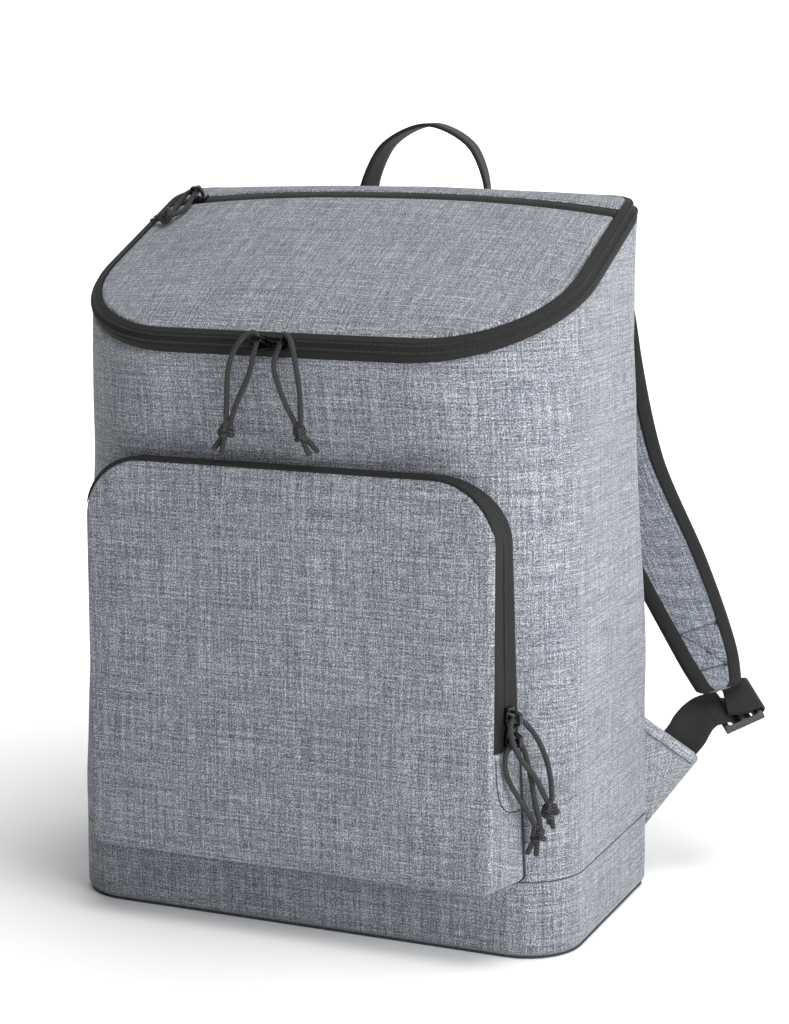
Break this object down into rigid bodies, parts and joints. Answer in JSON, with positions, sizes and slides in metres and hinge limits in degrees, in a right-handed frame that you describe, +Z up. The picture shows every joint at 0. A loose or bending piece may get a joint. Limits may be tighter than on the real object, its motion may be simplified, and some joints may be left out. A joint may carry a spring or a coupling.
{
  "type": "cooler backpack",
  "caption": "Boxy insulated backpack with a sloping zipped lid, zipped front pocket, padded back, shoulder straps and a webbing haul loop.",
  "frame": {"origin": "centre of the flat underside of the base, on the floor", "axes": "+Z up; the front with its pocket faces -Y; the back panel and straps face +Y; +X is to the right seen from the front"},
  "size_m": [0.4656, 0.2887, 0.4841],
  "materials": {
    "melange_cloth": "grey blue melange polyester, matt",
    "back_padding": "grey melange cloth over foam, matt",
    "strap_padding": "grey melange cloth over foam with a black bound edge",
    "black_zip_tape": "black zip tape with a nylon coil",
    "black_webbing": "black woven webbing",
    "black_cord": "black braided cord",
    "black_slider": "glossy black",
    "black_plastic": "satin black moulded plastic"
  },
  "bodies": {
    "root": {"base_tub": "melange_cloth", "body_wall": "melange_cloth", "lid_zip_band": "black_zip_tape", "lid_panel": "melange_cloth", "lid_rear_strip": "melange_cloth", "lid_pocket_zip": "black_zip_tape", "pocket_panel": "melange_cloth", "pocket_zip": "black_zip_tape", "pocket_gusset": "melange_cloth", "lid_slider_left": "black_slider", "lid_slider_right": "black_slider", "lid_pocket_slider": "black_slider", "pocket_slider_lower": "black_slider", "pocket_slider_upper": "black_slider", "back_panel": "back_padding", "haul_loop": "black_webbing", "shoulder_strap_right": "strap_padding", "shoulder_strap_left": "strap_padding", "strap_wing_right": "melange_cloth", "strap_wing_left": "melange_cloth", "strap_webbing_right": "black_webbing", "strap_webbing_left": "black_webbing", "ladder_lock_right": "black_plastic", "ladder_lock_left": "black_plastic", "strap_end_loop_right": "black_webbing", "strap_end_loop_left": "black_webbing", "lid_left_pull_cord_a": "black_cord", "lid_left_pull_cord_b": "black_cord", "lid_left_pull_knot": "black_cord", "lid_right_pull_cord_a": "black_cord", "lid_right_pull_cord_b": "black_cord", "lid_right_pull_knot": "black_cord", "lid_pocket_pull_cord_a": "black_cord", "lid_pocket_pull_cord_b": "black_cord", "lid_pocket_pull_knot": "black_cord", "pocket_upper_pull_cord_a": "black_cord", "pocket_upper_pull_cord_b": "black_cord", "pocket_upper_pull_knot": "black_cord", "pocket_lower_pull_cord_a": "black_cord", "pocket_lower_pull_cord_b": "black_cord", "pocket_lower_pull_knot": "black_cord"}
  },
  "joints": []
}
